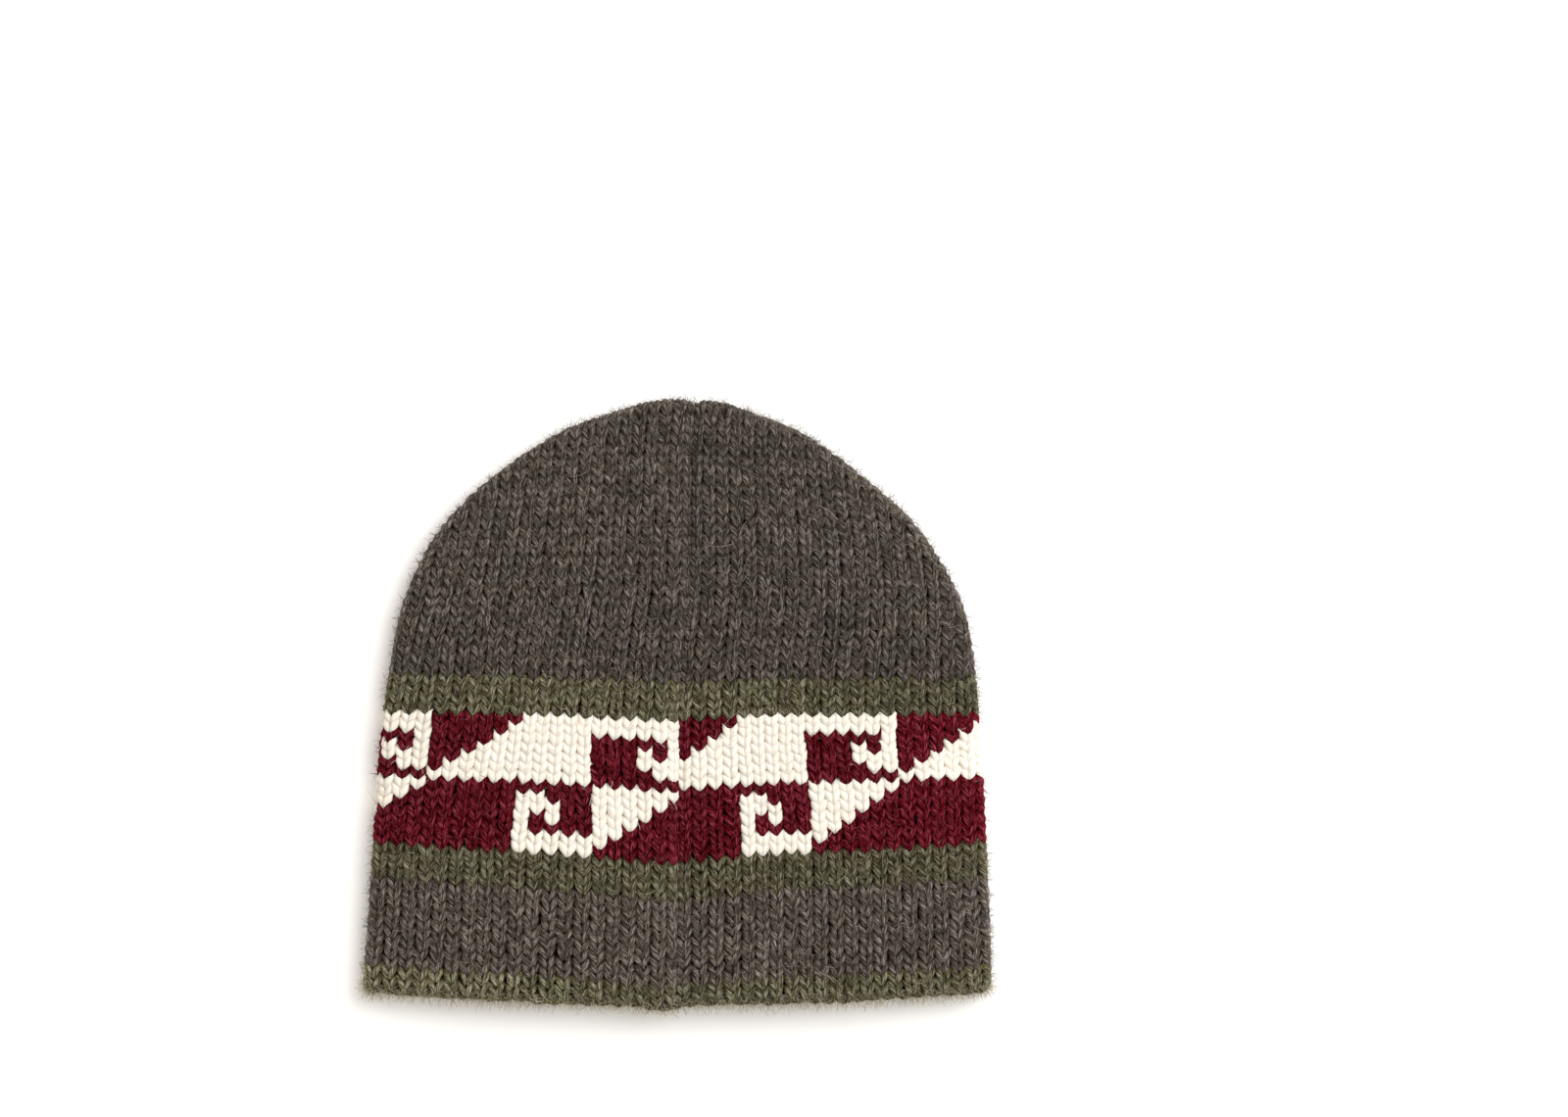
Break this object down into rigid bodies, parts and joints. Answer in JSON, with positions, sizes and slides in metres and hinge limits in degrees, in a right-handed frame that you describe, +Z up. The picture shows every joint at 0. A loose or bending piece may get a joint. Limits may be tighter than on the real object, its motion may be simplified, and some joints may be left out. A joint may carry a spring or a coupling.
{
  "type": "knitted beanie cap",
  "caption": "Hand-knitted wool beanie lying flat, with a stepped fret band in dark red and cream between green stripes, a grey crown and border, and a back seam",
  "frame": {"origin": "On the surface that the cap lies on, under the middle of its outline", "axes": "+X across the cap to the right as it lies with its seam up, +Y from the open hem to the crown, +Z up through both layers"},
  "size_m": [0.2388, 0.2302, 0.0242],
  "materials": {
    "grey_wool": "brown-grey heather wool, knitted, matt and fuzzy",
    "green_wool": "olive green heather wool, knitted, matt and fuzzy",
    "red_wool": "dark red wool, knitted, matt and fuzzy",
    "cream_wool": "cream undyed wool, knitted, plump and matt"
  },
  "bodies": {
    "root": {"knitted_cap": "grey_wool"}
  },
  "joints": []
}
